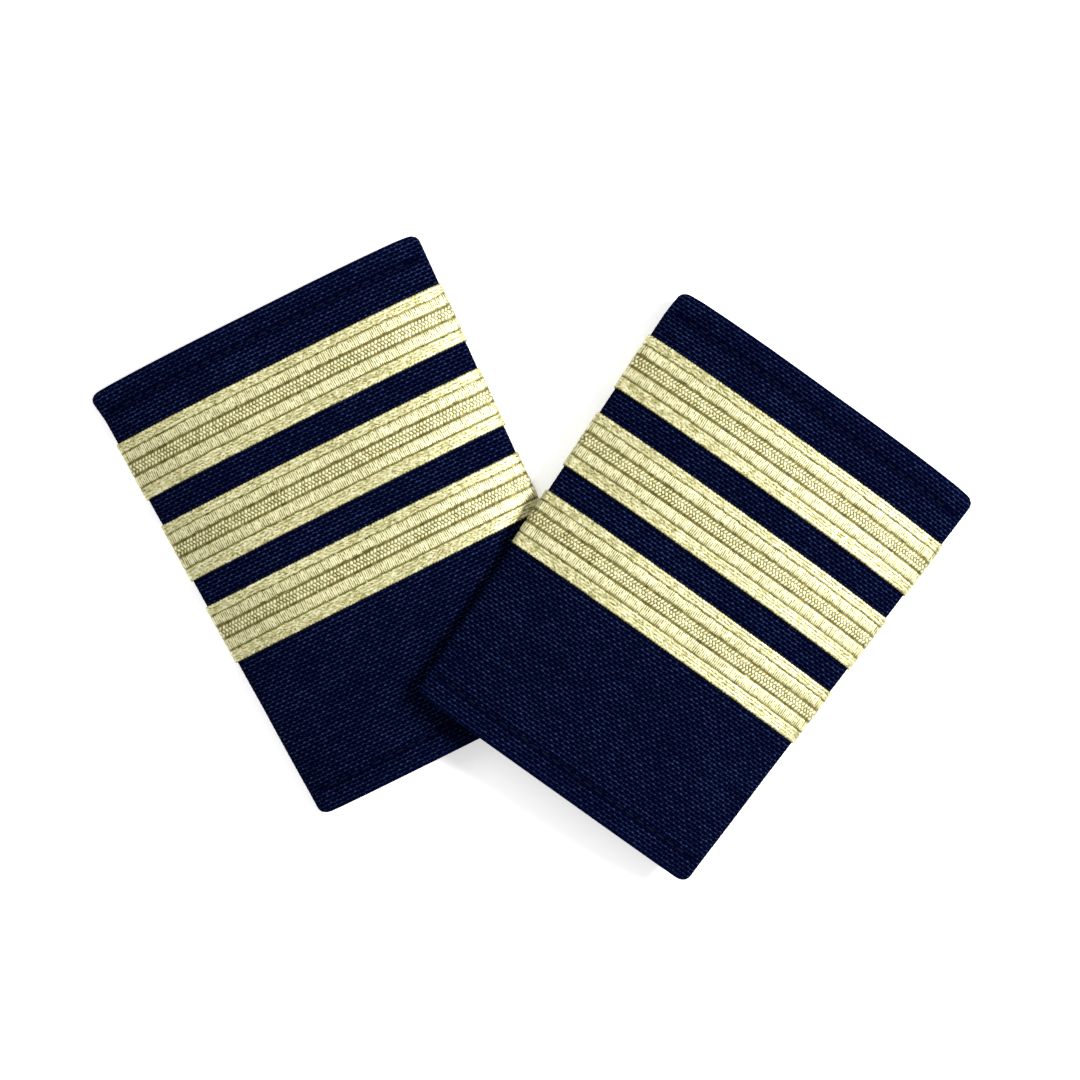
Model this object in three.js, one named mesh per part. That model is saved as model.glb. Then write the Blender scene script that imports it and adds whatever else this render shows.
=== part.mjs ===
// A pair of slip-on shoulder slides for an airline pilot's shirt, three lace bars each.
// The left slide lies flat. The right slide leans on the left one's collar end.
//
// Each slide is a flat cloth tube for a shoulder strap. A stiff board arches its front, and its
// sides are folds. The front cloth is turned in at both ends. Three bars of metallic lace cross the
// front, wrap the side folds and end at a seam strip down the middle of the back. A bar and the
// cloth are each split at the side folds, where the front can lift off the back.
//
// A slide's own frame, in millimetres: x across, y from the collar end (0) to the outer end
// (LENGTH), z up from the surface that it lies on.
import * as THREE from 'three';

// ---- Driving dimensions, mm and degrees ----
const LENGTH = 98;
const OUTER_WIDTH = 74.2;
const COLLAR_WIDTH = 66.9;
const CORNER_RADIUS = 2;

const CLOTH = 0.5;
const LACE = 0.5;
const BOARD = 0.6;
const LAYER_GAP = 0.05;

const STRAP_ROOM = 5; // clear height for the strap, at the middle of the tube
const FOLD_RADIUS = 1.4; // outside of the cloth at a side fold
const FOLD_EASE = 3; // the back cloth starts to turn up this far before a side fold
const EASE_RISE = 0.03; // and has risen this much where the fold begins
const CROWN_POWER = 3; // how flat the arch of the front is in the middle
const HEM = 8; // cloth turned in at each end
const HEM_BEVEL = 0.3;
const STITCH_INSET = 5;
const STITCH_WIDTH = 0.5;
const STITCH_HEIGHT = 0.15;

const BAR_COUNT = 3;
const BAR_WIDTH = 12.7;
const BAR_PITCH = 18.9;
const FIRST_BAR = 11.6; // outer end to the first bar
const SEAM_STRIP_WIDTH = 10;
const SEAM_STRIP_INSET = 0.3;
const BUTT_GAP = 0.3; // between the two halves of the back, and between a strip and a tail

const LEFT = { place: [-35, 5.4, 0], yaw: 26.6, lean: [0, 0] };
const RIGHT = { place: [31.9, -7.3, 3.76], yaw: -35.5, lean: [-1.78, 3.7] };

// ---- Heights and curves worked out from them ----
const BACK_BOTTOM = LACE + LAYER_GAP;
const BACK_TOP = BACK_BOTTOM + CLOTH;
const FOLD_HEIGHT = BACK_BOTTOM + FOLD_RADIUS;
const CREST = BACK_TOP + STRAP_ROOM + BOARD + LAYER_GAP + CLOTH;
const crownSlope = (rise) => Math.atan((CROWN_POWER * rise) / (COLLAR_WIDTH / 2));
const FOLD_END = Math.PI / 2 - crownSlope(CREST - FOLD_HEIGHT - FOLD_RADIUS);
const EDGE_TOP = FOLD_HEIGHT + FOLD_RADIUS * Math.sin(FOLD_END);
const EDGE_INSET = FOLD_RADIUS - (FOLD_RADIUS - CLOTH) * Math.cos(FOLD_END) + 0.1;

const FOLD_STEPS = 7;
const CORNER_STEPS = [0, 0.15, 0.5, 1];
const CROWN_STEPS = [-1, -0.88, -0.78, -0.65, -0.5, -0.3, 0, 0.3, 0.5, 0.65, 0.78, 0.88, 1];
const BOARD_REACH = 0.88;

const CLOTH_LOOK = { color: 0x070c25, roughness: 0.9, metalness: 0 };
const LACE_LOOK = { color: 0xd0cca1, roughness: 0.4, metalness: 0.6 };
const BOARD_LOOK = { color: 0x1c1d22, roughness: 0.8, metalness: 0 };
const THREAD_LOOK = { color: 0x04060f, roughness: 0.7, metalness: 0 };

// Half the slide's width at y, with the end corners rounded.
function halfWidth(y) {
  const straight = THREE.MathUtils.lerp(COLLAR_WIDTH, OUTER_WIDTH, y / LENGTH) / 2;
  const short = Math.max(0, CORNER_RADIUS - Math.min(y, LENGTH - y));
  return straight - CORNER_RADIUS + Math.sqrt(CORNER_RADIUS ** 2 - short ** 2);
}

// Half the width of the arched front, which ends where the side folds' lips begin.
const frontReach = (y) => halfWidth(y) - EDGE_INSET;

// Top of the front cloth, where u runs from -1 at one lip to 1 at the other.
const frontTop = (u) => EDGE_TOP + (CREST - EDGE_TOP) * (1 - Math.abs(u) ** CROWN_POWER);

// Where each bar starts, in y, from the outer end inwards.
const barStart = (i) => LENGTH - FIRST_BAR - BAR_WIDTH - i * BAR_PITCH;

// Distances from an end, at both ends of the slide, as y in rising order.
const bothEnds = (distances) => [...distances, ...distances.map((d) => LENGTH - d).toReversed()];

// Every y at which a front layer has an edge, so that layers bend alike and never cross.
function frontStations() {
  const corners = CORNER_STEPS.map((s) => s * CORNER_RADIUS);
  const stations = bothEnds([...corners, HEM, HEM + HEM_BEVEL]);
  for (let i = 0; i < BAR_COUNT; i++) stations.push(barStart(i), barStart(i) + BAR_WIDTH);
  return stations.sort((a, b) => a - b);
}

// A closed solid through rings of points. A ring runs out along one side of a thin section and
// back along the other, so the end caps are strips between its opposite points.
function loft(rings) {
  const count = rings[0].length;
  const triangles = [];
  for (let r = 0; r + 1 < rings.length; r++) {
    for (let i = 0; i < count; i++) {
      const next = (i + 1) % count;
      const [a, b] = [r * count + i, r * count + next];
      triangles.push([a, b, b + count], [a, b + count, a + count]);
    }
  }
  const last = (rings.length - 1) * count;
  for (let i = 0; i + 1 < count / 2; i++) {
    const [a, b, c, d] = [i, i + 1, count - 2 - i, count - 1 - i];
    triangles.push([a, c, b], [a, d, c]);
    triangles.push([last + a, last + b, last + c], [last + a, last + c, last + d]);
  }
  const geometry = new THREE.BufferGeometry().setFromPoints(rings.flat());
  geometry.setIndex(triangles.flat());
  if (signedVolume(geometry) < 0) geometry.setIndex(triangles.map((t) => t.toReversed()).flat());
  return geometry;
}

function signedVolume(geometry) {
  const corner = (i) => new THREE.Vector3().fromBufferAttribute(geometry.attributes.position, i);
  const index = geometry.index.array;
  let volume = 0;
  for (let i = 0; i < index.length; i += 3) {
    volume += corner(index[i]).dot(corner(index[i + 1]).cross(corner(index[i + 2]))) / 6;
  }
  return volume;
}

// A layer of the front: an outline of [y, height above the front cloth], carried across the arch.
function frontLayer(outline, reach = 1) {
  const steps = CROWN_STEPS.filter((u) => Math.abs(u) <= reach);
  const ring = (u) =>
    outline.map(([y, h]) => new THREE.Vector3(u * frontReach(y), y, frontTop(u) + h));
  return loft(steps.map(ring));
}

// An outline with a level top and underside, with a point at every front station between its ends.
function slab(from, to, bottom, top) {
  const between = frontStations().filter((y) => y > from && y < to);
  const stations = [from, ...between, to];
  return [...stations.map((y) => [y, top]), ...stations.toReversed().map((y) => [y, bottom])];
}

// The front cloth is one layer thick, and two where its ends are turned in.
function frontClothOutline() {
  const thickness = (y) => (Math.min(y, LENGTH - y) <= HEM ? 2 * CLOTH : CLOTH);
  const stations = frontStations();
  const underside = stations.toReversed().map((y) => [y, -thickness(y)]);
  return [...stations.map((y) => [y, 0]), ...underside];
}

const frontCloth = () => frontLayer(frontClothOutline());

function frontBoard() {
  const top = -CLOTH - LAYER_GAP;
  const end = HEM + HEM_BEVEL;
  return frontLayer(slab(end, LENGTH - end, top - BOARD, top), BOARD_REACH);
}

function frontBar(i) {
  return frontLayer(slab(barStart(i), barStart(i) + BAR_WIDTH, LAYER_GAP, LAYER_GAP + LACE));
}

// A row of hem stitching: a low ridge of thread across the front.
function hemStitching(y) {
  const [wide, narrow] = [STITCH_WIDTH / 2, STITCH_WIDTH / 5];
  const top = LAYER_GAP + STITCH_HEIGHT;
  return frontLayer([
    [y - narrow, top],
    [y + narrow, top],
    [y + wide, LAYER_GAP],
    [y - wide, LAYER_GAP],
  ]);
}

// A strip of the back that wraps a side fold, carried along y. side is -1 or 1. It runs from
// start, near the middle, out to the fold and round it to the front's lip. Its flat part lies
// lower than the foot of the fold by drop.
function wrappedStrip({ side, stations, start, outside, thickness, drop = 0 }) {
  const bottom = FOLD_HEIGHT - outside;
  const ring = (y) => {
    const centre = halfWidth(y) - FOLD_RADIUS;
    const arc = (radius) => {
      const points = [];
      for (let i = 0; i <= FOLD_STEPS; i++) {
        const angle = THREE.MathUtils.lerp(-Math.PI / 2, FOLD_END, i / FOLD_STEPS);
        points.push([centre + radius * Math.cos(angle), FOLD_HEIGHT + radius * Math.sin(angle)]);
      }
      return points;
    };
    const flat = (z) => [start, centre - FOLD_EASE].map((x) => [x, z - drop]);
    const outline = [
      ...flat(bottom),
      ...arc(outside),
      ...arc(outside - thickness).toReversed(),
      ...flat(bottom + thickness).toReversed(),
    ];
    return outline.map(([x, z]) => new THREE.Vector3(side * x, y, z));
  };
  return loft(stations.map(ring));
}

// One half of the back cloth, with its side fold.
function backCloth(side) {
  return wrappedStrip({
    side,
    stations: bothEnds(CORNER_STEPS.map((s) => s * CORNER_RADIUS)),
    start: BUTT_GAP / 2,
    outside: FOLD_RADIUS,
    thickness: CLOTH,
    drop: EASE_RISE,
  });
}

// The end of a bar, from the front's lip round the side fold to the seam strip.
function barTail(i, side) {
  return wrappedStrip({
    side,
    stations: [barStart(i), barStart(i) + BAR_WIDTH],
    start: SEAM_STRIP_WIDTH / 2 + BUTT_GAP,
    outside: FOLD_RADIUS + LAYER_GAP + LACE,
    thickness: LACE,
  });
}

function seamStrip() {
  const length = LENGTH - 2 * SEAM_STRIP_INSET;
  return new THREE.BoxGeometry(SEAM_STRIP_WIDTH, length, LACE).translate(0, LENGTH / 2, LACE / 2);
}

function addPiece(group, name, geometry, look) {
  const mesh = new THREE.Mesh(geometry, new THREE.MeshStandardMaterial(look));
  mesh.name = name;
  group.add(mesh);
}

function makeSlide(name, { place, yaw, lean }) {
  const slide = new THREE.Group();
  addPiece(slide, `${name}_front_cloth`, frontCloth(), CLOTH_LOOK);
  addPiece(slide, `${name}_front_board`, frontBoard(), BOARD_LOOK);
  addPiece(slide, `${name}_outer_hem_stitching`, hemStitching(LENGTH - STITCH_INSET), THREAD_LOOK);
  addPiece(slide, `${name}_collar_hem_stitching`, hemStitching(STITCH_INSET), THREAD_LOOK);
  addPiece(slide, `${name}_back_seam_strip`, seamStrip(), CLOTH_LOOK);
  for (const [sideName, side] of [['left', -1], ['right', 1]]) {
    addPiece(slide, `${name}_back_cloth_${sideName}`, backCloth(side), CLOTH_LOOK);
    for (let i = 0; i < BAR_COUNT; i++) {
      addPiece(slide, `${name}_bar_${i + 1}_tail_${sideName}`, barTail(i, side), LACE_LOOK);
    }
  }
  for (let i = 0; i < BAR_COUNT; i++) {
    addPiece(slide, `${name}_bar_${i + 1}`, frontBar(i), LACE_LOOK);
  }
  for (const piece of slide.children) piece.position.y = -LENGTH / 2;
  slide.position.set(...place);
  slide.rotation.set(...[...lean, yaw].map(THREE.MathUtils.degToRad));
  return slide;
}

// The origin is under the middle of the pair, on the surface that it lies on.
const group = new THREE.Group();
group.add(makeSlide('left', LEFT), makeSlide('right', RIGHT));
const middle = new THREE.Box3().setFromObject(group, true).getCenter(new THREE.Vector3());
for (const slide of group.children) {
  slide.position.x -= middle.x;
  slide.position.y -= middle.y;
}

export default group;
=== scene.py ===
"""Looks for a pair of pilot shoulder slides: navy cloth tubes with three gold lace bars each.

A slide is built in a frame of its own, in millimetres: x across, y from the collar end to the
outer end, z up from its back. A place on its cloth tube is given by y and by the distance s round
the tube from the middle of the front, which is negative to the left.
"""

import math

import bmesh
import bpy
import numpy as np
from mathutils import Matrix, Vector


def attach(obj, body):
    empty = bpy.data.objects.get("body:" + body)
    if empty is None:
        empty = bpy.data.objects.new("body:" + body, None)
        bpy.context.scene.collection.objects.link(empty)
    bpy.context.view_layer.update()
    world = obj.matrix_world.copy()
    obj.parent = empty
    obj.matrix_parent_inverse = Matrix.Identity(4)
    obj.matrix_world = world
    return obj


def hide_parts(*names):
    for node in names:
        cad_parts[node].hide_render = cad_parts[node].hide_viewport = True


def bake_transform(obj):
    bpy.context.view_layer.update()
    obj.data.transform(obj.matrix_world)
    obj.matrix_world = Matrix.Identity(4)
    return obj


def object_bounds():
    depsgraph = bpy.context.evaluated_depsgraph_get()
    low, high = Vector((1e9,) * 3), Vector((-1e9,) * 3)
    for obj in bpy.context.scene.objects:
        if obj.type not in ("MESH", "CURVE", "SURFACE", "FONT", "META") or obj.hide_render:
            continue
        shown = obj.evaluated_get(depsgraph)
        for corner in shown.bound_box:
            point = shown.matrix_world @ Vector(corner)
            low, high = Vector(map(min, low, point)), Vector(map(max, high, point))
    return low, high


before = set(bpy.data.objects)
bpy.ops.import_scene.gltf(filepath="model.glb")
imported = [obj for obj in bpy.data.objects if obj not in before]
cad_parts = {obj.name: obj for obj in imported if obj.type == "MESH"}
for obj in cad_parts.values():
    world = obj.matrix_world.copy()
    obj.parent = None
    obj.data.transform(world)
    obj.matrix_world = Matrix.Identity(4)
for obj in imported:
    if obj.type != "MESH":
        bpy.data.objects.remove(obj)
cad_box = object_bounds()

MM = 0.001  # metres in a millimetre

# ---- The camera looks straight down, and the picture spans this much at the slides' fronts ----
VIEW_SPAN = 218.2
VIEW_MIDDLE = (1.4, 3.3)
VIEW_HEIGHT = 8.0
LENS = 85.0
SENSOR = 36.0

# ---- Cloth, mm ----
CLOTH = 0.5
FOLD_RADIUS = 1.4
CROWN_POWER = 3
CORNER_RADIUS = 2.0
CORNER_REACH = 6.0  # how far from the side fold a corner's shape pulls the cloth
OUTER_LEFT_FLARE = {"left": 0.6, "right": -0.4}  # how far each slide's outer left corner sticks out
FLARE_LENGTH = 7.0
HEM = 8.0
RIM_RADIUS = CLOTH
BUTT_GAP = 0.3
WARP_PITCH = 0.73
WEFT_PITCH = 0.79
YARN_SAMPLES = 2  # mesh points for each yarn, each way
WEAVE_HEIGHT = 0.045
RIM_STEPS = 8  # points round the turn of the cloth at an end, with the first and last left out
RIM_FADE = 0.9  # how far the darker rim reaches
UNEVENNESS = 0.10  # height of the front's slow waves
WAVE_FADE = 2.0  # the waves grow to that height over this rise above a side fold's middle
FOLD_TOP = 1.1  # a height above a side fold's middle, where bend_with_tube works out a point that it does not use
SECTION_STEPS = (80, 24, 12)  # points on the arch, round the fold and on half the back

# ---- Hem stitching, mm ----
STITCH_INSET = 5.0
STITCH_PITCH = 2.6
STITCH_LENGTH = 2.1
THREAD_RADIUS = 0.17
STITCH_GROOVE = 0.20
STITCH_GROOVE_WIDTH = 0.75
STITCH_SIDE_FADE = 2.0  # the groove fades out this close to a side fold
STITCH_SWELL = 0.35  # how much the groove's depth swings between stitches, as a share
STITCH_RISE = 0.08  # a stitch's middle above the groove's bottom
STITCH_DIP = 0.16  # and its ends below its middle
BAR_PRESS = 0.06  # how far a bar pushes the cloth in
BAR_PRESS_WIDTH = 0.35

# ---- Seam strip and board, mm ----
STRIP_GAP = 0.05
BOARD = 0.55
BOARD_GAP = 0.07
BOARD_COLLAR_SHARE = 0.94  # the board's width at the collar end, against the outer end
BACK_FACE_SHIFT = 200  # puts the board's two faces on different parts of its felt

# ---- Lace, mm: distances across a bar from its outer edge ----
BAR_NUMBERS = (1, 2, 3)
LACE = 0.5
LACE_GAP = 0.03
LACE_RELIEF = 0.20
LACE_GROUND = 0.22  # height of the ground weave, as a share of the relief
LACE_EDGE = 0.15  # width of a bar's sloping edge
LACE_END_GAP = 0.05  # between a bar's end and the seam strip
LACE_CORDS = (  # middle, half width
    (0.38, 0.38),
    (1.04, 0.34),
    (1.66, 0.34),
    (10.50, 0.33),
    (11.12, 0.34),
    (11.74, 0.34),
    (12.33, 0.37),
)
LACE_RIBS = ((2.2, 4.3), (7.6, 9.85))
LACE_BEADS = (5.2, 5.97, 6.75)
BEAD_HALF_WIDTH = 0.4
CORD_PITCH = 0.9
CORD_SLANT = 0.6  # how far a cord's strands lean over half its width, as a share of their pitch
RIB_PITCH = 0.43
BEAD_PITCH = 0.76
BEAD_SLANT = 0.22  # the same for beads
DRIFT_ACROSS = 0.09  # how far threads wander across a bar
DRIFT_ALONG = 0.10  # and along it
SCALLOP = 0.12  # how far the thread loops of a bar's edges stand out
SCALLOP_PITCH = 0.7
SCALLOP_POWER = 20  # how closely the loops keep to the edges
LACE_ROWS = 70
LACE_STEP = RIB_PITCH / 4

SEED = 7

# ---- Stage: places and sizes in metres, powers in watts ----
KEY_PLACE = (1.50, 0.31, 1.48)
KEY_SIZE = 0.50
KEY_POWER = 72.0
FILL_PLACE = (-0.5, 0.5, 0.9)
FILL_SIZE = 0.6
FILL_POWER = 2.6
WORLD_STRENGTH = 0.55
FLOOR_HALF = 3.0
FLOOR_DROP = 0.02 * MM
FLOOR_GLOW = 0.45

# ---- Colours as light that the surface gives back, red, green and blue ----
GROUND_BLUE = (0.0001, 0.0002, 0.0064, 1)
# Painted highlight: the lighter blue that the crowns of the weft yarns show where they catch the light.
WEFT_HIGHLIGHT_BLUE = (0.0145, 0.030, 0.086, 1)
RIM_BLUE = (0.0010, 0.0022, 0.018, 1)
# The gold runs from painted shade in the lace's gaps at 0 to painted highlight on its crowns at 1.
COOL_GOLD = (
    (0.00, (0.045, 0.045, 0.012)),
    (0.25, (0.13, 0.126, 0.038)),
    (0.50, (0.325, 0.315, 0.135)),
    (0.75, (0.54, 0.515, 0.27)),
    (1.00, (0.74, 0.73, 0.50)),
)
WARM_GOLD = (
    (0.00, (0.075, 0.056, 0.013)),
    (0.25, (0.18, 0.145, 0.042)),
    (0.50, (0.355, 0.33, 0.142)),
    (0.75, (0.55, 0.505, 0.26)),
    (1.00, (0.74, 0.72, 0.49)),
)
DARK_THREAD = (0.0003, 0.0006, 0.004, 1)
LIGHT_THREAD = (0.0045, 0.0090, 0.026, 1)
DARK_FELT = (0.012, 0.013, 0.018, 1)
LIGHT_FELT = (0.06, 0.062, 0.075, 1)
DARK_FLOOR = (0.92, 0.92, 0.92, 1)
LIGHT_FLOOR = (0.94, 0.94, 0.94, 1)
WHITE = (1, 1, 1, 1)


# ---------------------------------------------------------------- the slides, measured on the CAD
def unit(vector):
    return vector / np.linalg.norm(vector)


def node_points(node):
    """A CAD node's corners, each one once, in metres."""
    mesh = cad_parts[node].data
    points = np.empty(len(mesh.vertices) * 3, np.float32)
    mesh.vertices.foreach_get("co", points)
    return np.unique(points.reshape(-1, 3).astype(float).round(7), axis=0)


class Slide:
    """One slide's own frame and main sizes."""

    def __init__(self, name, seed):
        self.name = name
        self.seed = seed
        self.back = f"{name}_back"
        self.front = f"{name}_front"
        strip = node_points(f"{name}_back_seam_strip")
        outer = node_points(f"{name}_outer_hem_stitching").mean(0)
        collar = node_points(f"{name}_collar_hem_stitching").mean(0)
        right = node_points(f"{name}_bar_2_tail_right").mean(0)
        left = node_points(f"{name}_bar_2_tail_left").mean(0)
        x_axis = unit(right - left)
        y_axis = unit(outer - collar)
        self.axes = np.array([x_axis, y_axis, np.cross(x_axis, y_axis)])
        self.origin = strip.mean(0)
        strip = self.to_slide(strip)
        cloth = self.to_slide(node_points(f"{name}_front_cloth"))
        self.length = np.ptp(cloth[:, 1])
        self.origin += self.axes.T @ [0, cloth[:, 1].min() * MM, strip[:, 2].min() * MM]
        self.crest = cloth[:, 2].max() - strip[:, 2].min()
        self.strip_half_width = strip[:, 0].max()
        self.strip_length = np.ptp(strip[:, 1])
        back = self.to_slide(node_points(f"{name}_back_cloth_right"))
        self.back_bottom = back[:, 2].min()
        self.fold_height = self.back_bottom + FOLD_RADIUS
        self.collar_half_width, self.outer_half_width = self.half_widths(back)
        self.bars = [self.bar_range(number) for number in BAR_NUMBERS]

    def to_slide(self, points):
        return (points - self.origin) @ self.axes.T / MM

    def place(self, points):
        """Points of the slide's frame, in the row frame and in metres."""
        return self.origin + (points * MM) @ self.axes

    def half_widths(self, back):
        """Half the width at each end, as if the corners weren't rounded."""
        ends = (CORNER_RADIUS, self.length - CORNER_RADIUS)
        near, far = (back[np.abs(back[:, 1] - y) < 0.1][:, 0].max() for y in ends)
        taper = (far - near) / (ends[1] - ends[0])
        return near - taper * CORNER_RADIUS, far + taper * CORNER_RADIUS

    def half_width(self, y):
        share = y / self.length
        return self.collar_half_width + (self.outer_half_width - self.collar_half_width) * share

    def bar_range(self, number):
        """A bar's inner and outer edge, as y."""
        y = self.to_slide(node_points(f"{self.name}_bar_{number}"))[:, 1]
        return y.min(), y.max()


# ---------------------------------------------------------------- shapes on the tube
def smooth(value):
    t = np.clip(value, 0, 1)
    return t * t * (3 - 2 * t)


def section(slide, y):
    """The tube's outline at y, from the middle of the front round to the middle of the back: the
    distance so far, x, z and the way out of the cloth."""
    middle_x = slide.half_width(y) - FOLD_RADIUS
    slope = 0.3  # a first guess, which the loop improves
    for _ in range(4):  # the arch of the front meets the fold without a crease
        lip_x = middle_x + FOLD_RADIUS * math.sin(slope)
        lip_z = slide.fold_height + FOLD_RADIUS * math.cos(slope)
        rise = slide.crest - lip_z
        slope = math.atan(CROWN_POWER * rise / lip_x)
    arch_steps, fold_steps, back_steps = SECTION_STEPS
    x = np.linspace(0, lip_x, arch_steps)
    z = lip_z + rise * (1 - (x / lip_x) ** CROWN_POWER)
    out_x = CROWN_POWER * rise * x ** (CROWN_POWER - 1) / lip_x**CROWN_POWER
    long = np.hypot(out_x, 1)
    turn = np.linspace(math.pi / 2 - slope, -math.pi / 2, fold_steps)[1:]
    back_x = np.linspace(middle_x, 0, back_steps)[1:]
    flat = np.zeros_like(back_x)
    xs = np.concatenate([x, middle_x + FOLD_RADIUS * np.cos(turn), back_x])
    zs = np.concatenate([z, slide.fold_height + FOLD_RADIUS * np.sin(turn), flat + slide.back_bottom])
    out_xs = np.concatenate([out_x / long, np.cos(turn), flat])
    out_zs = np.concatenate([1 / long, np.sin(turn), flat - 1])
    distance = np.concatenate([[0], np.cumsum(np.hypot(np.diff(xs), np.diff(zs)))])
    return distance, xs, zs, out_xs, out_zs


def half_girth(slide, y):
    """How far it is round the tube from the middle of the front to the middle of the back."""
    return section(slide, y)[0][-1]


def unevenness(slide, x, y):
    """Slow hand-made waves of the front, from -1 to 1."""
    phase = slide.seed * 1.7
    long_waves = np.sin(x / 9 + phase) * np.sin(y / 13 + 2 * phase)
    short_waves = np.sin(x / 5.3 + y / 7.1 + 3 * phase) * 0.5
    return (long_waves + short_waves) / 1.5


def on_tube(slide, y, s, out):
    """A grid of points, one row for each y, out above the cloth's outer surface at s."""
    y, s, out = np.broadcast_arrays(np.asarray(y, float)[:, None], s, out)
    points = np.empty(s.shape + (3,))
    for row in range(len(s)):
        row_y = y[row, 0]
        distance, xs, zs, out_xs, out_zs = section(slide, row_y)
        along = np.abs(s[row])
        side = np.sign(s[row])
        x, z = np.interp(along, distance, xs), np.interp(along, distance, zs)
        out_x, out_z = np.interp(along, distance, out_xs), np.interp(along, distance, out_zs)
        long = np.hypot(out_x, out_z)
        x = x + out[row] * out_x / long
        z = z + out[row] * out_z / long
        front = smooth((z - slide.fold_height) / WAVE_FADE)
        z = z + UNEVENNESS * front * unevenness(slide, x * side, y[row])
        short = max(0.0, CORNER_RADIUS - min(row_y, slide.length - row_y))
        pull = CORNER_RADIUS - math.sqrt(max(CORNER_RADIUS**2 - short**2, 0))
        flare = OUTER_LEFT_FLARE[slide.name] * smooth(1 - (slide.length - row_y) / FLARE_LENGTH)
        shift = np.where(side < 0, flare, 0) - pull
        x = x + shift * smooth(1 + (x - slide.half_width(row_y)) / CORNER_REACH)
        points[row] = np.stack([side * x, y[row], z], 1)
    return points


# ---------------------------------------------------------------- meshes
class Grid:
    """A grid of points in millimetres, with a place on the material and named shares for each."""

    def __init__(self, points, uv, capped=True, **shares):
        self.points = points
        self.uv = uv
        self.capped = capped
        self.shares = shares

    def bake_uv(self, number, count):
        """The grid laid flat in its own band of the unit square, number out of count bands."""
        rows, columns = self.points.shape[:2]
        u, v = np.meshgrid(np.linspace(0, 1, columns), np.linspace(0.02, 0.98, rows))
        return np.stack([u, (number + v) / count], -1)


def grid_faces(grid, first):
    """The grid's faces as lists of point numbers, with both ends of its rows closed if capped."""
    rows, columns = grid.points.shape[:2]
    number = first + np.arange(rows * columns).reshape(rows, columns)
    quads = np.stack([number[:-1, :-1], number[:-1, 1:], number[1:, 1:], number[1:, :-1]], -1)
    faces = quads.reshape(-1, 4).tolist()
    if grid.capped:
        faces.append(number[:-1, 0].tolist())
        faces.append(number[:-1, -1].tolist())
    return faces


def make_piece(name, slide, grids, material):
    """One mesh of several grids. Points at the same place become one point."""
    points = np.concatenate([g.points.reshape(-1, 3) for g in grids])
    uv = np.concatenate([g.uv.reshape(-1, 2) for g in grids])
    bake_uv = np.concatenate([g.bake_uv(i, len(grids)).reshape(-1, 2) for i, g in enumerate(grids)])
    faces = []
    count = 0
    for grid in grids:
        faces += grid_faces(grid, count)
        count += grid.points[..., 0].size
    _, kept, merged = np.unique(points.round(5), axis=0, return_index=True, return_inverse=True)
    merged = merged.reshape(-1).tolist()
    corners = []
    corner_numbers = []
    for face in faces:
        once = {merged[corner]: corner for corner in face}
        if len(once) > 2:
            corners.append(list(once))
            corner_numbers += once.values()
    mesh = bpy.data.meshes.new(name)
    mesh.from_pydata(slide.place(points[kept]).tolist(), [], corners)
    for layer, places in (("cloth", uv), ("OFBake", bake_uv)):
        mesh.uv_layers.new(name=layer).data.foreach_set("uv", places[corner_numbers].ravel())
    for share in grids[0].shares:
        values = np.concatenate([g.shares[share].ravel() for g in grids])[kept]
        attribute = mesh.attributes.new(share, "FLOAT", "POINT")
        attribute.data.foreach_set("value", values.astype(np.float32))
    work = bmesh.new()
    work.from_mesh(mesh)
    bmesh.ops.recalc_face_normals(work, faces=work.faces)
    work.to_mesh(mesh)
    work.free()
    mesh.shade_smooth()
    mesh.materials.append(material)
    piece = bpy.data.objects.new(name, mesh)
    bpy.context.scene.collection.objects.link(piece)
    return piece


def bend_with_tube(piece, slide):
    """Bakes the piece's placing into its mesh. It works out two points on the slide, on the back's cloth
    and above the side folds, but does not use them.
    """
    start = slide.place(np.array([0, 0, slide.back_bottom + CLOTH]))
    end = slide.place(np.array([0, 0, slide.fold_height + FOLD_TOP]))
    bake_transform(piece)


# ---------------------------------------------------------------- the cloth tube
def weave_height(s, y):
    """The woven surface, from -1 in the gaps between yarns to 1 where yarns cross."""
    across = np.cos(math.pi * s / WARP_PITCH)
    along = np.cos(math.pi * y / WEFT_PITCH)
    return np.abs(across) + np.abs(along) - 1 + 0.3 * across * along


def hem_press(slide, y):
    """How hard the hem stitching presses the cloth at y, from 0 to 1, which also sets the painted shade in
    its groove.
    """
    from_end = np.minimum(y, slide.length - y)
    return np.exp(-(((from_end - STITCH_INSET) / STITCH_GROOVE_WIDTH) ** 2))


def bar_press(slide, y):
    """How hard the bars press the cloth at y, under them and just beside them, from 0 to 1, which also
    sets the painted shade there.
    """
    apart = [np.maximum(low - y, y - high) for low, high in slide.bars]
    return np.exp(-np.maximum(np.min(apart, axis=0), 0) / BAR_PRESS_WIDTH)


def rim(end, way):
    """The rounded turn of the cloth at an end, as y and depth, from outside to inside."""
    turn = np.linspace(0, math.pi, RIM_STEPS)[1:-1]
    return [(end + way * RIM_RADIUS * (1 - math.sin(a)), RIM_RADIUS * (1 - math.cos(a))) for a in turn]


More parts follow.
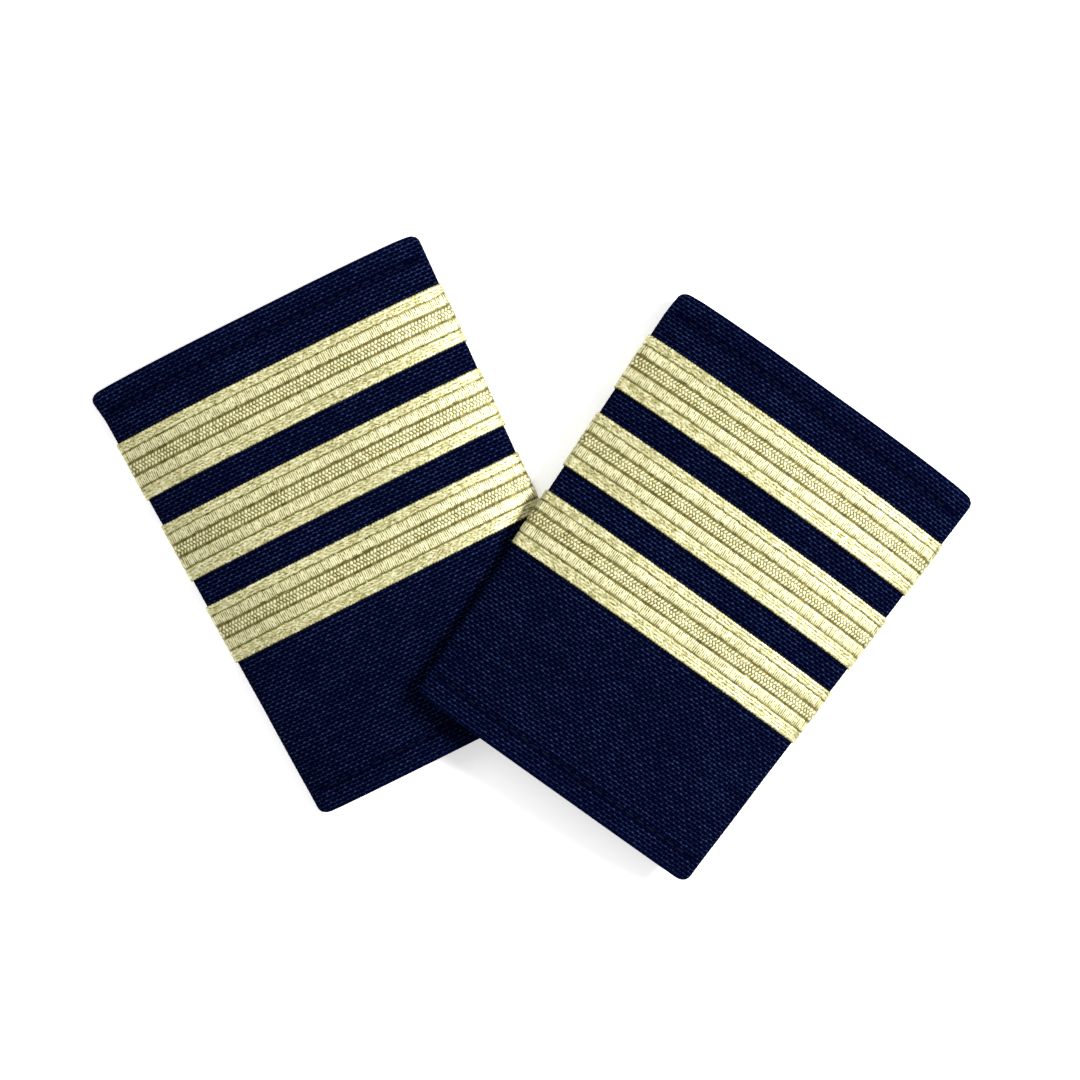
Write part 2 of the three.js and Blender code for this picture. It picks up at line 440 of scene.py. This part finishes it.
def tube_profile(slide):
    """The cut edge of the cloth along the tube as [y, depth] in a closed loop, and which of its
    points are on the outside."""
    step = WEFT_PITCH / YARN_SAMPLES
    first = math.ceil(RIM_RADIUS / step)
    last = math.floor((slide.length - RIM_RADIUS) / step)
    outside = [(i * step, 0.0) for i in range(first, last + 1)]
    inside = [(y, CLOTH) for y in np.linspace(slide.length - HEM - 0.2, HEM + 0.2, 12)]
    far_hem = [(slide.length - y, 2 * CLOTH) for y in np.linspace(RIM_RADIUS, HEM, 6)]
    near_hem = [(y, 2 * CLOTH) for y in np.linspace(HEM, RIM_RADIUS, 6)]
    near_rim = rim(0.0, 1)[::-1]
    far_rim = rim(slide.length, -1)
    loop = near_rim + outside + far_rim + far_hem + inside + near_hem
    is_outside = [len(near_rim) <= i < len(near_rim) + len(outside) for i in range(len(loop))]
    return np.array(loop + loop[:1]), np.array(is_outside + is_outside[:1])


def make_cloth(slide, material):
    """The woven tube with both ends turned in, its hems and bars pressed into it."""
    profile, outside = tube_profile(slide)
    y, depth = profile.T
    outside = outside[:, None]
    step = WARP_PITCH / YARN_SAMPLES
    widest = half_girth(slide, slide.length)
    count = math.ceil(widest / step)
    limit = np.array([half_girth(slide, row) - BUTT_GAP / 2 for row in y])[:, None]
    s = np.clip(np.arange(-count, count + 1) * step, -limit, limit)
    weave = weave_height(s, y[:, None]) * outside
    from_edge = slide.half_width(y)[:, None] - np.abs(s)
    groove = hem_press(slide, y)[:, None] * outside * smooth(from_edge / STITCH_SIDE_FADE)
    beside_bars = bar_press(slide, y)[:, None] * outside * np.ones_like(s)
    # Painted shade: in the hem grooves and beside the bars, the weft's painted highlight is taken out of
    # the colour.
    groove_and_bar_shade = np.maximum(groove, beside_bars)
    stitch = np.cos(2 * math.pi * s / STITCH_PITCH)
    out = WEAVE_HEIGHT * weave - depth[:, None]
    out -= STITCH_GROOVE * groove * (1 - STITCH_SWELL * stitch)
    out -= BAR_PRESS * beside_bars
    run = np.concatenate([[0], np.cumsum(np.hypot(np.diff(y), np.diff(depth)))])
    start = np.argmax(outside)
    run += y[start] - run[start]
    uv = np.stack(np.broadcast_arrays(s / WARP_PITCH, run[:, None] / WEFT_PITCH), -1)
    at_rim = np.exp(-np.minimum(y, slide.length - y) / RIM_FADE)[:, None] * np.ones_like(s)
    grid = Grid(on_tube(slide, y, s, out), uv, groove_and_bar_shade=groove_and_bar_shade, rim=at_rim)
    piece = make_piece(f"{slide.name}_cloth_tube", slide, [grid], material)
    back_halves = (f"{slide.name}_back_cloth_{side}" for side in ("left", "right"))
    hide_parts(f"{slide.name}_front_cloth", *back_halves)
    return piece


# ---------------------------------------------------------------- lace bars
def thread_noise(number, row, seed):
    """The same random number from -1 to 1 for the same whole number and row."""
    scrambled = np.sin(number * 12.9898 + row * 78.233 + seed * 37.719) * 43758.5453
    return 2 * (scrambled - np.floor(scrambled)) - 1


def wobble(x, y, seed):
    """Smooth random waves from -1 to 1, about one for each unit of x and y."""
    left, low = np.floor(x), np.floor(y)
    right_share, high_share = smooth(x - left), smooth(y - low)
    below, above = (
        thread_noise(left, row, seed) * (1 - right_share) + thread_noise(left + 1, row, seed) * right_share
        for row in (low, low + 1)
    )
    return below * (1 - high_share) + above * high_share


def dome(distance, half_width):
    """A round cord's height, from 1 at its middle to 0 at its half width."""
    return np.sqrt(np.clip(1 - (distance / half_width) ** 2, 0, 1))


def crests(turn):
    """Round crests at whole numbers, from 0 between them to 1."""
    return np.abs(np.cos(math.pi * turn))


def lace_relief(w, s, seed):
    """The lace's woven height and its colour brightness at each point, both from 0 to 1. The brightness
    holds painted shade in the gaps, painted highlights on the crowns, and for each thread a random tone
    that is partly a painted glint.
    """
    w, s = np.broadcast_arrays(w, s)
    w = w + DRIFT_ACROSS * wobble(s / 1.1, w / 2, seed)
    s = s + DRIFT_ALONG * wobble(s / 2.3, w / 1.6, seed + 1)
    height = np.full(w.shape, LACE_GROUND)
    painted_light_and_tone = 0.32 + 0.36 * thread_noise(np.round(s / RIB_PITCH), np.round(w / 0.4), seed)

    def lay(level, brightness):
        """Lays a thread where it comes out higher than what is already there."""
        higher = level > height
        height[higher] = level[higher]
        painted_light_and_tone[higher] = brightness[higher]

    # Each thread's brightness is painted light: painted highlight on its crown, and painted shade at its
    # sides and in its valleys.
    for row, (middle, half) in enumerate(LACE_CORDS):
        turn = s / CORD_PITCH + CORD_SLANT * (-1) ** row * (w - middle) / half
        strand = thread_noise(np.round(turn), row, seed)
        ply = thread_noise(np.round(turn * 2), np.round((w - middle) / 0.2), seed + row)
        round_cord = dome(w - middle, half)
        lay(
            round_cord * (0.70 + 0.22 * crests(turn) + 0.08 * strand),
            0.05 + 0.58 * round_cord + 0.20 * crests(turn) + 0.10 * strand + 0.32 * ply,
        )
    for row, (low, high) in enumerate(LACE_RIBS):
        from_middle = (w - (low + high) / 2) / ((high - low) / 2)
        rib = thread_noise(np.round(s / RIB_PITCH), 10 + row, seed)
        gap = 0.5 + 0.5 * thread_noise(np.floor(s / RIB_PITCH), np.floor(w / 0.5), seed + row)
        valley = 0.5 - 0.5 * np.cos(2 * math.pi * s / RIB_PITCH)
        body = np.clip(1 - np.abs(from_middle) ** 6, 0, 1) ** 0.5
        lay(
            body * (0.90 - 0.28 * valley + 0.05 * rib),
            0.66 + 0.38 * body - (0.25 + 0.80 * gap) * valley + 0.08 * rib,
        )
    for row, middle in enumerate(LACE_BEADS):
        slant = BEAD_SLANT * (-1) ** row
        turn = s / BEAD_PITCH + 0.5 * row + slant * (w - middle) / BEAD_HALF_WIDTH
        bead = thread_noise(np.round(turn), 20 + row, seed)
        knob = dome(w - middle, BEAD_HALF_WIDTH) * crests(turn) ** 0.8
        lay(0.25 + 0.62 * knob + 0.08 * bead, 0.06 + 1.10 * knob**1.5 + 0.20 * bead)
    return np.clip(height, 0, 1), np.clip(painted_light_and_tone, 0, 1)


def all_round(values):
    """A bar's rows from its outer edge to its inner one, the two edges underneath, and the first
    row again."""
    return np.concatenate([values, values[[-1, 0]], values[:1]])


def make_bar(slide, number, material):
    """One band of lace, from the seam strip round the front and back to the seam strip."""
    low, high = slide.bars[number - 1]
    wide = high - low
    w = np.linspace(0, wide, LACE_ROWS)
    y = high - w
    to_strip = slide.strip_half_width + LACE_END_GAP
    ends = np.array([half_girth(slide, row) - to_strip for row in y])[:, None]
    count = math.ceil(ends.max() / LACE_STEP)
    s = np.clip(np.arange(-count, count + 1) * LACE_STEP, -ends, ends)
    # Painted light for the lace's colour: shade in its gaps, highlights on its crowns, and a glint for
    # each thread.
    height, painted_light_and_tone = lace_relief(w[:, None], s, slide.seed * 10 + number)
    edge = np.clip(np.minimum(w, wide - w) / LACE_EDGE, 0, 1)[:, None]
    height = height * (0.35 + 0.65 * edge)
    top = LACE_GAP + LACE - LACE_RELIEF + LACE_RELIEF * height
    out = all_round(top)
    out[LACE_ROWS : LACE_ROWS + 2] = LACE_GAP
    s = all_round(s)
    run = np.concatenate([w, w[[-1, 0]] + wide + 1, [2 * wide + 2]])[:, None]
    uv = np.stack(np.broadcast_arrays(s, run), -1)
    points = on_tube(slide, all_round(y), s, out)
    from_middle = all_round(w)[:, None] / wide - 0.5
    at_edge = np.sign(from_middle) * (2 * np.abs(from_middle)) ** SCALLOP_POWER
    points[..., 1] -= SCALLOP * at_edge * crests(s / SCALLOP_PITCH)
    grid = Grid(points, uv, painted_light_and_tone=all_round(painted_light_and_tone))
    piece = make_piece(f"{slide.name}_lace_bar_{number}", slide, [grid], material)
    node = f"{slide.name}_bar_{number}"
    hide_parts(node, f"{node}_tail_left", f"{node}_tail_right")
    return piece, 2 * ends.mean()


# ---------------------------------------------------------------- stitches, seam strip and board
def stitch_line(slide, end):
    """Where the stitching of a hem lies, as y."""
    return STITCH_INSET if end == "collar" else slide.length - STITCH_INSET


def stitch_grid(slide, y, middle):
    """One stitch: a twisted thread that rises out of the cloth and dips back into it."""
    turn = np.linspace(0, 2 * math.pi, 9)[:, None]
    share = np.linspace(-1, 1, 15)[None, :]
    twist = 1 + 0.12 * np.cos(2 * turn + 9 * share)
    radius = THREAD_RADIUS * np.sqrt(1 - np.abs(share) ** 4) * twist
    s = middle + share * STITCH_LENGTH / 2 + 0 * turn
    out = STITCH_RISE - STITCH_GROOVE - STITCH_DIP * np.abs(share) ** 3 + radius * np.sin(turn)
    sideways = radius * np.cos(turn)
    points = on_tube(slide, np.full(len(turn), y), s, out)
    points[..., 1] += sideways
    uv = np.stack(np.broadcast_arrays(share * STITCH_LENGTH, turn), -1)
    return Grid(points, uv, capped=False)


def make_hem_stitches(slide, end, material):
    """The stitches across the front of one hem."""
    y = stitch_line(slide, end)
    reach = slide.half_width(y) - FOLD_RADIUS - STITCH_LENGTH
    count = math.floor(reach / STITCH_PITCH)
    middles = np.arange(-count, count + 1) * STITCH_PITCH
    grids = [stitch_grid(slide, y, middle) for middle in middles]
    piece = make_piece(f"{slide.name}_{end}_hem_stitches", slide, grids, material)
    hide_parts(f"{slide.name}_{end}_hem_stitching")
    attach(piece, slide.front)
    return piece


def make_back_hem_stitches(slide, end, material):
    """The stitches across the back of one hem, on both sides of the seam strip."""
    y = stitch_line(slide, end)
    back = half_girth(slide, y)
    nearest = slide.strip_half_width + STITCH_LENGTH
    farthest = slide.half_width(y) - FOLD_RADIUS - STITCH_LENGTH
    places = np.arange(nearest, farthest, STITCH_PITCH)
    middles = np.concatenate([back - places, places - back])
    grids = [stitch_grid(slide, y, middle) for middle in middles]
    piece = make_piece(f"{slide.name}_{end}_back_stitches", slide, grids, material)
    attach(piece, slide.back)
    return piece


def make_seam_strip(slide, material):
    """The folded strip down the middle of the back, with its weave on the side that shows."""
    step = WEFT_PITCH / YARN_SAMPLES
    half = slide.strip_half_width
    thick = slide.back_bottom - STRIP_GAP
    start = (slide.length - slide.strip_length) / 2
    y = np.linspace(start, slide.length - start, round(slide.strip_length / step))
    turn = np.linspace(0, math.pi, 7)
    edge_x = thick / 2 * np.sin(turn)
    edge_z = thick / 2 * (1 - np.cos(turn))
    columns = round(2 * (half - thick / 2) / step)
    flat = np.linspace(-half + thick / 2, half - thick / 2, columns)
    x = np.concatenate([flat, flat[-1] + edge_x[1:], flat[::-1][1:], flat[0] - edge_x[1:]])
    z = np.concatenate([0 * flat, edge_z[1:], 0 * flat[1:] + thick, thick - edge_z[1:]])
    shown = np.concatenate([np.ones(columns), np.zeros(len(x) - columns)])
    x, z, shown = (np.append(v, v[0])[:, None] for v in (x, z, shown))
    weave = weave_height(x, y[None, :])
    grid_z = z + WEAVE_HEIGHT * shown * (1 - weave)
    x, y, z = np.broadcast_arrays(x, y[None, :], grid_z)
    run = np.concatenate([[0], np.cumsum(np.hypot(np.diff(x[:, 0]), np.diff(z[:, 0])))])[:, None]
    uv = np.stack(np.broadcast_arrays(run / WARP_PITCH, y / WEFT_PITCH), -1)
    none = np.zeros_like(x)
    grid = Grid(np.stack([x, y, z], -1), uv, groove_and_bar_shade=none, rim=none)
    piece = make_piece(f"{slide.name}_seam_strip", slide, [grid], material)
    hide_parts(f"{slide.name}_back_seam_strip")
    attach(piece, slide.back)
    return piece


def make_board(slide, material):
    """The stiffener under the front cloth, a sheet with softly rounded edges."""
    nodes = slide.to_slide(node_points(f"{slide.name}_front_board"))
    low, high = nodes[:, 1].min(), nodes[:, 1].max()
    half = nodes[:, 0].max()
    radius = BOARD / 2
    middle = -CLOTH - BOARD_GAP - radius
    turn = np.linspace(0, math.pi, 7)
    round_y = radius * np.sin(turn)
    round_out = radius * np.cos(turn)
    y_top = np.linspace(low + BOARD, high - BOARD, 24)
    flat = np.full_like(y_top, radius)
    y = np.concatenate([y_top, y_top[-1] + round_y[1:], y_top[::-1][1:], y_top[0] - round_y[1:]])[:, None]
    out = np.concatenate([flat, round_out[1:], -flat[1:], -round_out[1:]])[:, None]
    share = np.linspace(-1, 1, 90)[None, :]
    slim = np.sqrt(1 - np.abs(share) ** 60)
    s = share * half * (BOARD_COLLAR_SHARE + (1 - BOARD_COLLAR_SHARE) * y / slide.length)
    points = on_tube(slide, y[:, 0], s, middle + out * slim)
    uv = np.stack(np.broadcast_arrays(s, y + BACK_FACE_SHIFT * (out < 0)), -1)
    piece = make_piece(f"{slide.name}_board", slide, [Grid(points, uv)], material)
    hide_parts(f"{slide.name}_front_board")
    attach(piece, slide.front)
    return piece


# ---------------------------------------------------------------- materials
class Shader:
    """A new material and short ways to add its nodes."""

    def __init__(self, name):
        self.material = bpy.data.materials.new(name)
        self.material.use_nodes = True
        self.nodes = self.material.node_tree.nodes
        self.links = self.material.node_tree.links
        self.surface = self.nodes["Principled BSDF"]

    def fill(self, node, inputs):
        for key, value in inputs.items():
            socket = node.inputs[key]
            if isinstance(value, bpy.types.NodeSocket):
                self.links.new(value, socket)
            else:
                socket.default_value = value

    def node(self, kind, inputs=None, **settings):
        node = self.nodes.new("ShaderNode" + kind)
        for key, value in settings.items():
            setattr(node, key, value)
        self.fill(node, inputs or {})
        return node

    def math(self, operation, *values, clamp=False):
        inputs = dict(enumerate(values))
        return self.node("Math", inputs, operation=operation, use_clamp=clamp).outputs[0]

    def share(self, name):
        """What the mesh says of this name at each point."""
        return self.node("Attribute", attribute_name=name).outputs["Fac"]

    def uv(self):
        """Where a point lies on the cloth, thread or board."""
        separate = self.node("SeparateXYZ", {0: self.node("UVMap", uv_map="cloth").outputs[0]})
        return separate.outputs["X"], separate.outputs["Y"]

    def vector(self, x, y, z=0.0):
        return self.node("CombineXYZ", {"X": x, "Y": y, "Z": z}).outputs[0]

    def noise(self, vector, scale, detail=2.0, roughness=0.5):
        inputs = {"Vector": vector, "Scale": scale, "Detail": detail, "Roughness": roughness}
        return self.node("TexNoise", inputs).outputs["Fac"]

    def random(self, x, y):
        inputs = {"Vector": self.vector(x, y)}
        return self.node("TexWhiteNoise", inputs, noise_dimensions="2D").outputs["Value"]

    def remap(self, value, low, high, to_low=0.0, to_high=1.0, smooth_ends=False):
        kind = "SMOOTHSTEP" if smooth_ends else "LINEAR"
        inputs = {"Value": value, "From Min": low, "From Max": high}
        inputs |= {"To Min": to_low, "To Max": to_high}
        return self.node("MapRange", inputs, interpolation_type=kind).outputs["Result"]

    def mix(self, share, a, b, kind="MIX"):
        node = self.node("Mix", data_type="RGBA", blend_type=kind)
        self.fill(node, {0: share, 6: a, 7: b})
        return node.outputs[2]

    def ramp(self, value, stops):
        node = self.node("ValToRGB", {"Fac": value})
        elements = node.color_ramp.elements
        while len(elements) < len(stops):
            elements.new(0.5)
        for element, (position, colour) in zip(elements, stops):
            element.position = position
            element.color = (*colour, 1)
        return node.outputs["Color"]

    def bump(self, height, strength, distance):
        inputs = {"Height": height, "Strength": strength, "Distance": distance}
        return self.node("Bump", inputs).outputs["Normal"]


def cloth_material():
    """Matt plain weave: a near-black ground with wavy rows of painted highlight in lighter blue, where the
    crowns of the weft yarns catch the light.
    """
    shader = Shader("navy_cloth")
    u, v = shader.uv()
    # Each row of weft waves over and under the warp, and drifts a little.
    row = shader.math("ROUND", v)
    over = shader.math("COSINE", shader.math("MULTIPLY", shader.math("ADD", u, row), math.pi))
    slubs = shader.noise(shader.vector(shader.math("MULTIPLY", u, 0.3), row), 1.0)
    drift = shader.math("MULTIPLY", shader.math("SUBTRACT", slubs, 0.5), 0.5)
    lift = shader.math("ADD", shader.math("MULTIPLY", over, 0.11), drift)
    from_row = shader.math("ABSOLUTE", shader.math("SUBTRACT", shader.math("SUBTRACT", v, row), lift))
    # The painted highlight shows as a line with soft edges, brightest where the weft floats over a warp
    # yarn.
    line = shader.remap(from_row, 0.02, 0.27, 1.0, 0.0, smooth_ends=True)
    float_share = shader.remap(over, -0.6, 1.0, 0.42, 1.0, smooth_ends=True)
    lucky = shader.math("POWER", shader.random(shader.math("ROUND", u), row), 3.0)
    knuckle = shader.math("COSINE", shader.math("MULTIPLY", u, 2 * math.pi))
    dots = shader.math("MULTIPLY", float_share, shader.remap(knuckle, -1, 1, 0.30, 1.50))
    bright = shader.math("MULTIPLY", line, dots)
    patches = shader.noise(shader.vector(u, v), 0.06, detail=3.0)
    # Yarns, rows and patches differ in the painted highlight's brightness, and painted shade takes the
    # highlight away in the hem grooves and beside the bars.
    for value, low, high, to_low, to_high in (
        (lucky, 0, 1, 0.45, 1.6),
        (shader.random(row, 3.5), 0, 1, 0.75, 1.15),
        (slubs, 0.3, 0.7, 0.75, 1.2),
        (patches, 0.3, 0.7, 0.7, 1.25),
        (shader.share("groove_and_bar_shade"), 0, 1, 1.0, 0.0),
    ):
        bright = shader.math("MULTIPLY", bright, shader.remap(value, low, high, to_low, to_high))
    # Painted highlight: lighter blue lines of weft sheen on the near-black ground.
    colour = shader.mix(bright, GROUND_BLUE, WEFT_HIGHLIGHT_BLUE)
    rim_share = shader.math("MULTIPLY", shader.share("rim"), 0.5)
    colour = shader.mix(rim_share, colour, RIM_BLUE)
    fibres = shader.noise(shader.vector(u, v), 5.0, detail=4.0, roughness=0.7)
    height = shader.math("ADD", line, shader.math("MULTIPLY", fibres, 0.6))
    normal = shader.bump(height, 0.5, 0.08 * MM)
    rough = shader.remap(line, 0, 1, 0.95, 0.75)
    shader.fill(shader.surface, {"Base Color": colour, "Roughness": rough, "Normal": normal})
    shader.fill(shader.surface, {"Specular IOR Level": 0.01})
    return shader.material


def lace_material():
    """Pale gold metal thread: painted highlights on the crowns, painted shade in the olive gaps, and a
    painted glint of its own for each thread.
    """
    shader = Shader("gold_lace")
    s, w = shader.uv()
    # Painted shade in the gaps, painted highlights on the crowns, and a painted glint for each thread.
    painted_light_and_tone = shader.share("painted_light_and_tone")
    filaments = shader.noise(shader.vector(shader.math("MULTIPLY", s, 3.0), w), 4.0, detail=3.0)
    sparkle = shader.noise(shader.vector(s, w), 9.0, detail=2.0)
    tint = shader.noise(shader.vector(s, w), 0.9, detail=2.0)
    level = shader.math("ADD", painted_light_and_tone, shader.remap(filaments, 0.3, 0.7, -0.10, 0.10))
    cool = shader.ramp(level, COOL_GOLD)
    warm = shader.ramp(level, WARM_GOLD)
    colour = shader.mix(shader.remap(tint, 0.4, 0.6), cool, warm)
    rough = shader.remap(sparkle, 0.3, 0.7, 0.30, 0.5)
    normal = shader.bump(shader.math("ADD", filaments, sparkle), 0.4, 0.05 * MM)
    shader.fill(shader.surface, {"Base Color": colour, "Roughness": rough, "Normal": normal})
    shader.fill(shader.surface, {"Metallic": 0.5, "Specular IOR Level": 0.3})
    return shader.material


def thread_material():
    """Dark twisted sewing thread."""
    shader = Shader("dark_thread")
    s, turn = shader.uv()
    strands = shader.math("SINE", shader.math("ADD", shader.math("MULTIPLY", s, 18.0), turn))
    fibres = shader.noise(shader.vector(s, turn), 6.0, detail=3.0)
    colour = shader.mix(fibres, DARK_THREAD, LIGHT_THREAD)
    normal = shader.bump(shader.math("ADD", strands, fibres), 0.4, 0.03 * MM)
    shader.fill(shader.surface, {"Base Color": colour, "Roughness": 0.6, "Normal": normal})
    shader.fill(shader.surface, {"Specular IOR Level": 0.05})
    return shader.material


def board_material():
    """Felted non-woven stiffener."""
    shader = Shader("stiffening_board")
    x, y = shader.uv()
    felt = shader.noise(shader.vector(x, y), 2.5, detail=6.0, roughness=0.7)
    colour = shader.mix(felt, DARK_FELT, LIGHT_FELT)
    normal = shader.bump(felt, 0.5, 0.1 * MM)
    shader.fill(shader.surface, {"Base Color": colour, "Roughness": 0.9, "Normal": normal})
    return shader.material


def floor_material():
    """Plain pale floor that glows a little, so that shadows on it stay faint."""
    shader = Shader("pale_floor")
    where = shader.node("TexCoord").outputs["Object"]
    grain = shader.noise(where, 60.0, detail=3.0)
    colour = shader.mix(grain, DARK_FLOOR, LIGHT_FLOOR)
    shader.fill(shader.surface, {"Base Color": colour, "Roughness": 0.9, "Specular IOR Level": 0.1})
    shader.fill(shader.surface, {"Emission Color": WHITE, "Emission Strength": FLOOR_GLOW})
    return shader.material


# ---------------------------------------------------------------- stage
def make_camera():
    data = bpy.data.cameras.new("camera")
    data.lens = LENS
    data.sensor_width = SENSOR
    data.clip_start = 0.01
    data.clip_end = 20
    camera = bpy.data.objects.new("camera", data)
    distance = VIEW_SPAN * LENS / SENSOR
    camera.location = (VIEW_MIDDLE[0] * MM, VIEW_MIDDLE[1] * MM, (VIEW_HEIGHT + distance) * MM)
    bpy.context.scene.collection.objects.link(camera)
    bpy.context.scene.camera = camera


def make_floor():
    signs = ((-1, -1), (1, -1), (1, 1), (-1, 1))
    corners = [(FLOOR_HALF * x, FLOOR_HALF * y, 0) for x, y in signs]
    mesh = bpy.data.meshes.new("floor")
    mesh.from_pydata(corners, [], [(0, 1, 2, 3)])
    mesh.materials.append(floor_material())
    floor = bpy.data.objects.new("floor", mesh)
    floor.location.z = cad_box[0].z - FLOOR_DROP
    bpy.context.scene.collection.objects.link(floor)


def make_light(name, place, size, power):
    """A square soft light aimed at the middle of the pair."""
    data = bpy.data.lights.new(name, "AREA")
    data.size = size
    data.energy = power
    light = bpy.data.objects.new(name, data)
    light.location = place
    light.rotation_mode = "QUATERNION"
    light.rotation_quaternion = (-Vector(place)).to_track_quat("-Z", "Y")
    bpy.context.scene.collection.objects.link(light)


def make_lights():
    world = bpy.data.worlds.new("studio")
    world.use_nodes = True
    background = world.node_tree.nodes["Background"]
    background.inputs["Color"].default_value = WHITE
    background.inputs["Strength"].default_value = WORLD_STRENGTH
    bpy.context.scene.world = world
    make_light("key", KEY_PLACE, KEY_SIZE, KEY_POWER)
    make_light("fill", FILL_PLACE, FILL_SIZE, FILL_POWER)
    bpy.context.scene.view_settings.view_transform = "Standard"


# ---------------------------------------------------------------- the pair
def make_slide(slide, cloth, lace, thread, board):
    """All pieces of one slide."""
    tube = make_cloth(slide, cloth)
    rows = [make_hem_stitches(slide, end, thread) for end in ("outer", "collar")]
    rows += [make_back_hem_stitches(slide, end, thread) for end in ("outer", "collar")]
    strip = make_seam_strip(slide, cloth)
    plate = make_board(slide, board)
    bars = [make_bar(slide, number, lace) for number in BAR_NUMBERS]
    bend_with_tube(tube, slide)
    girths = [2 * half_girth(slide, y) for y in (0, slide.length)]
    for (bar, length), (low, high) in zip(bars, slide.bars):
        bend_with_tube(bar, slide)


make_camera()
materials = (cloth_material(), lace_material(), thread_material(), board_material())
for seed, name in enumerate(("left", "right"), SEED):
    make_slide(Slide(name, seed), *materials)
make_floor()
make_lights()
